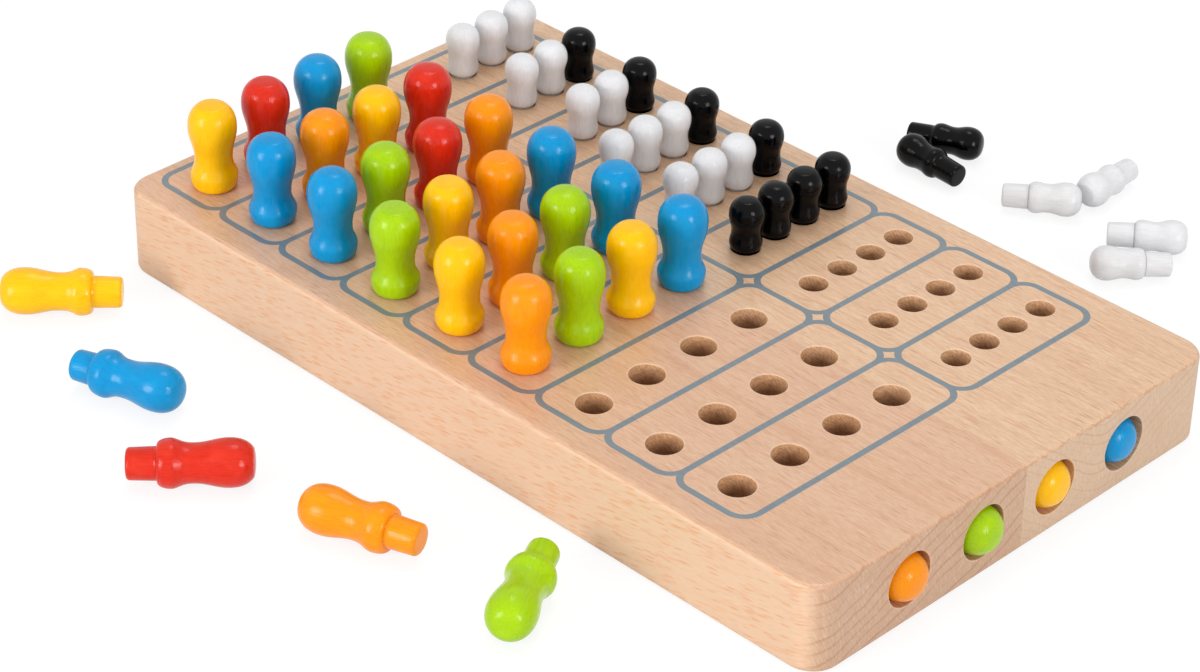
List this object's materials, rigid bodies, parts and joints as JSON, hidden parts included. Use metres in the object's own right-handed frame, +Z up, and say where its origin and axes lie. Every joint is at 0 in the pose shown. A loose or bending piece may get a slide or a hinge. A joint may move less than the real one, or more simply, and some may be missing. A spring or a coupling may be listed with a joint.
{
  "type": "code-breaking peg game",
  "caption": "Drilled beech game board with turned coloured pegs, small key pegs and a hidden code in bores in its end.",
  "frame": {"origin": "centre of the board's underside, on the table", "axes": "+Z up, out of the board's playing face; +X along the board's length, towards the end that holds the hidden code; +Y across the board, from the guess holes towards the key holes"},
  "size_m": [0.2825, 0.326, 0.0543],
  "materials": {
    "beech": "satin varnish",
    "orange_lacquer": "gloss coloured lacquer on turned wood",
    "green_lacquer": "gloss coloured lacquer on turned wood",
    "yellow_lacquer": "gloss coloured lacquer on turned wood",
    "blue_lacquer": "gloss coloured lacquer on turned wood",
    "red_lacquer": "gloss coloured lacquer on turned wood",
    "white_lacquer": "gloss coloured lacquer on turned wood",
    "black_lacquer": "gloss coloured lacquer on turned wood"
  },
  "bodies": {
    "board": {"peg_board": "beech"},
    "guess_peg_row4_1_orange_body": {"guess_peg_row4_1_orange": "orange_lacquer"},
    "guess_peg_row4_2_green_body": {"guess_peg_row4_2_green": "green_lacquer"},
    "guess_peg_row4_3_yellow_body": {"guess_peg_row4_3_yellow": "yellow_lacquer"},
    "guess_peg_row4_4_blue_body": {"guess_peg_row4_4_blue": "blue_lacquer"},
    "guess_peg_row5_1_yellow_body": {"guess_peg_row5_1_yellow": "yellow_lacquer"},
    "guess_peg_row5_2_orange_body": {"guess_peg_row5_2_orange": "orange_lacquer"},
    "guess_peg_row5_3_green_body": {"guess_peg_row5_3_green": "green_lacquer"},
    "guess_peg_row5_4_blue_body": {"guess_peg_row5_4_blue": "blue_lacquer"},
    "guess_peg_row6_1_green_body": {"guess_peg_row6_1_green": "green_lacquer"},
    "guess_peg_row6_2_yellow_body": {"guess_peg_row6_2_yellow": "yellow_lacquer"},
    "guess_peg_row6_3_orange_body": {"guess_peg_row6_3_orange": "orange_lacquer"},
    "guess_peg_row6_4_blue_body": {"guess_peg_row6_4_blue": "blue_lacquer"},
    "guess_peg_row7_1_blue_body": {"guess_peg_row7_1_blue": "blue_lacquer"},
    "guess_peg_row7_2_green_body": {"guess_peg_row7_2_green": "green_lacquer"},
    "guess_peg_row7_3_red_body": {"guess_peg_row7_3_red": "red_lacquer"},
    "guess_peg_row7_4_orange_body": {"guess_peg_row7_4_orange": "orange_lacquer"},
    "guess_peg_row8_1_blue_body": {"guess_peg_row8_1_blue": "blue_lacquer"},
    "guess_peg_row8_2_orange_body": {"guess_peg_row8_2_orange": "orange_lacquer"},
    "guess_peg_row8_3_yellow_body": {"guess_peg_row8_3_yellow": "yellow_lacquer"},
    "guess_peg_row8_4_red_body": {"guess_peg_row8_4_red": "red_lacquer"},
    "guess_peg_row9_1_yellow_body": {"guess_peg_row9_1_yellow": "yellow_lacquer"},
    "guess_peg_row9_2_red_body": {"guess_peg_row9_2_red": "red_lacquer"},
    "guess_peg_row9_3_blue_body": {"guess_peg_row9_3_blue": "blue_lacquer"},
    "guess_peg_row9_4_green_body": {"guess_peg_row9_4_green": "green_lacquer"},
    "key_peg_row4_1_black_body": {"key_peg_row4_1_black": "black_lacquer"},
    "key_peg_row4_2_black_body": {"key_peg_row4_2_black": "black_lacquer"},
    "key_peg_row4_3_black_body": {"key_peg_row4_3_black": "black_lacquer"},
    "key_peg_row4_4_black_body": {"key_peg_row4_4_black": "black_lacquer"},
    "key_peg_row5_1_white_body": {"key_peg_row5_1_white": "white_lacquer"},
    "key_peg_row5_2_white_body": {"key_peg_row5_2_white": "white_lacquer"},
    "key_peg_row5_3_white_body": {"key_peg_row5_3_white": "white_lacquer"},
    "key_peg_row5_4_black_body": {"key_peg_row5_4_black": "black_lacquer"},
    "key_peg_row6_1_white_body": {"key_peg_row6_1_white": "white_lacquer"},
    "key_peg_row6_2_white_body": {"key_peg_row6_2_white": "white_lacquer"},
    "key_peg_row6_3_white_body": {"key_peg_row6_3_white": "white_lacquer"},
    "key_peg_row6_4_black_body": {"key_peg_row6_4_black": "black_lacquer"},
    "key_peg_row7_2_white_body": {"key_peg_row7_2_white": "white_lacquer"},
    "key_peg_row7_3_white_body": {"key_peg_row7_3_white": "white_lacquer"},
    "key_peg_row7_4_black_body": {"key_peg_row7_4_black": "black_lacquer"},
    "key_peg_row8_2_white_body": {"key_peg_row8_2_white": "white_lacquer"},
    "key_peg_row8_3_white_body": {"key_peg_row8_3_white": "white_lacquer"},
    "key_peg_row8_4_black_body": {"key_peg_row8_4_black": "black_lacquer"},
    "key_peg_row9_2_white_body": {"key_peg_row9_2_white": "white_lacquer"},
    "key_peg_row9_3_white_body": {"key_peg_row9_3_white": "white_lacquer"},
    "key_peg_row9_4_white_body": {"key_peg_row9_4_white": "white_lacquer"},
    "code_peg_1_orange_body": {"code_peg_1_orange": "orange_lacquer"},
    "code_peg_2_green_body": {"code_peg_2_green": "green_lacquer"},
    "code_peg_3_yellow_body": {"code_peg_3_yellow": "yellow_lacquer"},
    "code_peg_4_blue_body": {"code_peg_4_blue": "blue_lacquer"},
    "spare_guess_peg_yellow_body": {"spare_guess_peg_yellow": "yellow_lacquer"},
    "spare_guess_peg_blue_body": {"spare_guess_peg_blue": "blue_lacquer"},
    "spare_guess_peg_red_body": {"spare_guess_peg_red": "red_lacquer"},
    "spare_guess_peg_orange_body": {"spare_guess_peg_orange": "orange_lacquer"},
    "spare_guess_peg_green_body": {"spare_guess_peg_green": "green_lacquer"},
    "spare_key_peg_black_front_body": {"spare_key_peg_black_front": "black_lacquer"},
    "spare_key_peg_black_back_body": {"spare_key_peg_black_back": "black_lacquer"},
    "spare_key_peg_white_left_body": {"spare_key_peg_white_left": "white_lacquer"},
    "spare_key_peg_white_back_body": {"spare_key_peg_white_back": "white_lacquer"},
    "spare_key_peg_white_right_body": {"spare_key_peg_white_right": "white_lacquer"}
  },
  "joints": [
    {"name": "guess_peg_row4_1_orange_lift", "type": "slide", "parent": "board", "child": "guess_peg_row4_1_orange_body", "axis": [0, 0, 1], "range_m": [0, 0.012]},
    {"name": "guess_peg_row4_2_green_lift", "type": "slide", "parent": "board", "child": "guess_peg_row4_2_green_body", "axis": [0, 0, 1], "range_m": [0, 0.012]},
    {"name": "guess_peg_row4_3_yellow_lift", "type": "slide", "parent": "board", "child": "guess_peg_row4_3_yellow_body", "axis": [0, 0, 1], "range_m": [0, 0.012]},
    {"name": "guess_peg_row4_4_blue_lift", "type": "slide", "parent": "board", "child": "guess_peg_row4_4_blue_body", "axis": [0, 0, 1], "range_m": [0, 0.012]},
    {"name": "guess_peg_row5_1_yellow_lift", "type": "slide", "parent": "board", "child": "guess_peg_row5_1_yellow_body", "axis": [0, 0, 1], "range_m": [0, 0.012]},
    {"name": "guess_peg_row5_2_orange_lift", "type": "slide", "parent": "board", "child": "guess_peg_row5_2_orange_body", "axis": [0, 0, 1], "range_m": [0, 0.012]},
    {"name": "guess_peg_row5_3_green_lift", "type": "slide", "parent": "board", "child": "guess_peg_row5_3_green_body", "axis": [0, 0, 1], "range_m": [0, 0.012]},
    {"name": "guess_peg_row5_4_blue_lift", "type": "slide", "parent": "board", "child": "guess_peg_row5_4_blue_body", "axis": [0, 0, 1], "range_m": [0, 0.012]},
    {"name": "guess_peg_row6_1_green_lift", "type": "slide", "parent": "board", "child": "guess_peg_row6_1_green_body", "axis": [0, 0, 1], "range_m": [0, 0.012]},
    {"name": "guess_peg_row6_2_yellow_lift", "type": "slide", "parent": "board", "child": "guess_peg_row6_2_yellow_body", "axis": [0, 0, 1], "range_m": [0, 0.012]},
    {"name": "guess_peg_row6_3_orange_lift", "type": "slide", "parent": "board", "child": "guess_peg_row6_3_orange_body", "axis": [0, 0, 1], "range_m": [0, 0.012]},
    {"name": "guess_peg_row6_4_blue_lift", "type": "slide", "parent": "board", "child": "guess_peg_row6_4_blue_body", "axis": [0, 0, 1], "range_m": [0, 0.012]},
    {"name": "guess_peg_row7_1_blue_lift", "type": "slide", "parent": "board", "child": "guess_peg_row7_1_blue_body", "axis": [0, 0, 1], "range_m": [0, 0.012]},
    {"name": "guess_peg_row7_2_green_lift", "type": "slide", "parent": "board", "child": "guess_peg_row7_2_green_body", "axis": [0, 0, 1], "range_m": [0, 0.012]},
    {"name": "guess_peg_row7_3_red_lift", "type": "slide", "parent": "board", "child": "guess_peg_row7_3_red_body", "axis": [0, 0, 1], "range_m": [0, 0.012]},
    {"name": "guess_peg_row7_4_orange_lift", "type": "slide", "parent": "board", "child": "guess_peg_row7_4_orange_body", "axis": [0, 0, 1], "range_m": [0, 0.012]},
    {"name": "guess_peg_row8_1_blue_lift", "type": "slide", "parent": "board", "child": "guess_peg_row8_1_blue_body", "axis": [0, 0, 1], "range_m": [0, 0.012]},
    {"name": "guess_peg_row8_2_orange_lift", "type": "slide", "parent": "board", "child": "guess_peg_row8_2_orange_body", "axis": [0, 0, 1], "range_m": [0, 0.012]},
    {"name": "guess_peg_row8_3_yellow_lift", "type": "slide", "parent": "board", "child": "guess_peg_row8_3_yellow_body", "axis": [0, 0, 1], "range_m": [0, 0.012]},
    {"name": "guess_peg_row8_4_red_lift", "type": "slide", "parent": "board", "child": "guess_peg_row8_4_red_body", "axis": [0, 0, 1], "range_m": [0, 0.012]},
    {"name": "guess_peg_row9_1_yellow_lift", "type": "slide", "parent": "board", "child": "guess_peg_row9_1_yellow_body", "axis": [0, 0, 1], "range_m": [0, 0.012]},
    {"name": "guess_peg_row9_2_red_lift", "type": "slide", "parent": "board", "child": "guess_peg_row9_2_red_body", "axis": [0, 0, 1], "range_m": [0, 0.012]},
    {"name": "guess_peg_row9_3_blue_lift", "type": "slide", "parent": "board", "child": "guess_peg_row9_3_blue_body", "axis": [0, 0, 1], "range_m": [0, 0.012]},
    {"name": "guess_peg_row9_4_green_lift", "type": "slide", "parent": "board", "child": "guess_peg_row9_4_green_body", "axis": [0, 0, 1], "range_m": [0, 0.012]},
    {"name": "key_peg_row4_1_black_lift", "type": "slide", "parent": "board", "child": "key_peg_row4_1_black_body", "axis": [0, 0, 1], "range_m": [0, 0.011]},
    {"name": "key_peg_row4_2_black_lift", "type": "slide", "parent": "board", "child": "key_peg_row4_2_black_body", "axis": [0, 0, 1], "range_m": [0, 0.011]},
    {"name": "key_peg_row4_3_black_lift", "type": "slide", "parent": "board", "child": "key_peg_row4_3_black_body", "axis": [0, 0, 1], "range_m": [0, 0.011]},
    {"name": "key_peg_row4_4_black_lift", "type": "slide", "parent": "board", "child": "key_peg_row4_4_black_body", "axis": [0, 0, 1], "range_m": [0, 0.011]},
    {"name": "key_peg_row5_1_white_lift", "type": "slide", "parent": "board", "child": "key_peg_row5_1_white_body", "axis": [0, 0, 1], "range_m": [0, 0.011]},
    {"name": "key_peg_row5_2_white_lift", "type": "slide", "parent": "board", "child": "key_peg_row5_2_white_body", "axis": [0, 0, 1], "range_m": [0, 0.011]},
    {"name": "key_peg_row5_3_white_lift", "type": "slide", "parent": "board", "child": "key_peg_row5_3_white_body", "axis": [0, 0, 1], "range_m": [0, 0.011]},
    {"name": "key_peg_row5_4_black_lift", "type": "slide", "parent": "board", "child": "key_peg_row5_4_black_body", "axis": [0, 0, 1], "range_m": [0, 0.011]},
    {"name": "key_peg_row6_1_white_lift", "type": "slide", "parent": "board", "child": "key_peg_row6_1_white_body", "axis": [0, 0, 1], "range_m": [0, 0.011]},
    {"name": "key_peg_row6_2_white_lift", "type": "slide", "parent": "board", "child": "key_peg_row6_2_white_body", "axis": [0, 0, 1], "range_m": [0, 0.011]},
    {"name": "key_peg_row6_3_white_lift", "type": "slide", "parent": "board", "child": "key_peg_row6_3_white_body", "axis": [0, 0, 1], "range_m": [0, 0.011]},
    {"name": "key_peg_row6_4_black_lift", "type": "slide", "parent": "board", "child": "key_peg_row6_4_black_body", "axis": [0, 0, 1], "range_m": [0, 0.011]},
    {"name": "key_peg_row7_2_white_lift", "type": "slide", "parent": "board", "child": "key_peg_row7_2_white_body", "axis": [0, 0, 1], "range_m": [0, 0.011]},
    {"name": "key_peg_row7_3_white_lift", "type": "slide", "parent": "board", "child": "key_peg_row7_3_white_body", "axis": [0, 0, 1], "range_m": [0, 0.011]},
    {"name": "key_peg_row7_4_black_lift", "type": "slide", "parent": "board", "child": "key_peg_row7_4_black_body", "axis": [0, 0, 1], "range_m": [0, 0.011]},
    {"name": "key_peg_row8_2_white_lift", "type": "slide", "parent": "board", "child": "key_peg_row8_2_white_body", "axis": [0, 0, 1], "range_m": [0, 0.011]},
    {"name": "key_peg_row8_3_white_lift", "type": "slide", "parent": "board", "child": "key_peg_row8_3_white_body", "axis": [0, 0, 1], "range_m": [0, 0.011]},
    {"name": "key_peg_row8_4_black_lift", "type": "slide", "parent": "board", "child": "key_peg_row8_4_black_body", "axis": [0, 0, 1], "range_m": [0, 0.011]},
    {"name": "key_peg_row9_2_white_lift", "type": "slide", "parent": "board", "child": "key_peg_row9_2_white_body", "axis": [0, 0, 1], "range_m": [0, 0.011]},
    {"name": "key_peg_row9_3_white_lift", "type": "slide", "parent": "board", "child": "key_peg_row9_3_white_body", "axis": [0, 0, 1], "range_m": [0, 0.011]},
    {"name": "key_peg_row9_4_white_lift", "type": "slide", "parent": "board", "child": "key_peg_row9_4_white_body", "axis": [0, 0, 1], "range_m": [0, 0.011]},
    {"name": "code_peg_1_orange_pull", "type": "slide", "parent": "board", "child": "code_peg_1_orange_body", "axis": [1, 0, 0], "range_m": [0, 0.037]},
    {"name": "code_peg_2_green_pull", "type": "slide", "parent": "board", "child": "code_peg_2_green_body", "axis": [1, 0, 0], "range_m": [0, 0.037]},
    {"name": "code_peg_3_yellow_pull", "type": "slide", "parent": "board", "child": "code_peg_3_yellow_body", "axis": [1, 0, 0], "range_m": [0, 0.037]},
    {"name": "code_peg_4_blue_pull", "type": "slide", "parent": "board", "child": "code_peg_4_blue_body", "axis": [1, 0, 0], "range_m": [0, 0.037]},
    {"name": "spare_guess_peg_yellow_lift", "type": "slide", "parent": "board", "child": "spare_guess_peg_yellow_body", "axis": [0, 0, 1], "range_m": [0, 0.02]},
    {"name": "spare_guess_peg_blue_lift", "type": "slide", "parent": "board", "child": "spare_guess_peg_blue_body", "axis": [0, 0, 1], "range_m": [0, 0.02]},
    {"name": "spare_guess_peg_red_lift", "type": "slide", "parent": "board", "child": "spare_guess_peg_red_body", "axis": [0, 0, 1], "range_m": [0, 0.02]},
    {"name": "spare_guess_peg_orange_lift", "type": "slide", "parent": "board", "child": "spare_guess_peg_orange_body", "axis": [0, 0, 1], "range_m": [0, 0.02]},
    {"name": "spare_guess_peg_green_lift", "type": "slide", "parent": "board", "child": "spare_guess_peg_green_body", "axis": [0, 0, 1], "range_m": [0, 0.02]},
    {"name": "spare_key_peg_black_front_lift", "type": "slide", "parent": "board", "child": "spare_key_peg_black_front_body", "axis": [0, 0, 1], "range_m": [0, 0.02]},
    {"name": "spare_key_peg_black_back_lift", "type": "slide", "parent": "board", "child": "spare_key_peg_black_back_body", "axis": [0, 0, 1], "range_m": [0, 0.02]},
    {"name": "spare_key_peg_white_left_lift", "type": "slide", "parent": "board", "child": "spare_key_peg_white_left_body", "axis": [0, 0, 1], "range_m": [0, 0.02]},
    {"name": "spare_key_peg_white_back_lift", "type": "slide", "parent": "board", "child": "spare_key_peg_white_back_body", "axis": [0, 0, 1], "range_m": [0, 0.02]},
    {"name": "spare_key_peg_white_right_lift", "type": "slide", "parent": "board", "child": "spare_key_peg_white_right_body", "axis": [0, 0, 1], "range_m": [0, 0.02]}
  ]
}
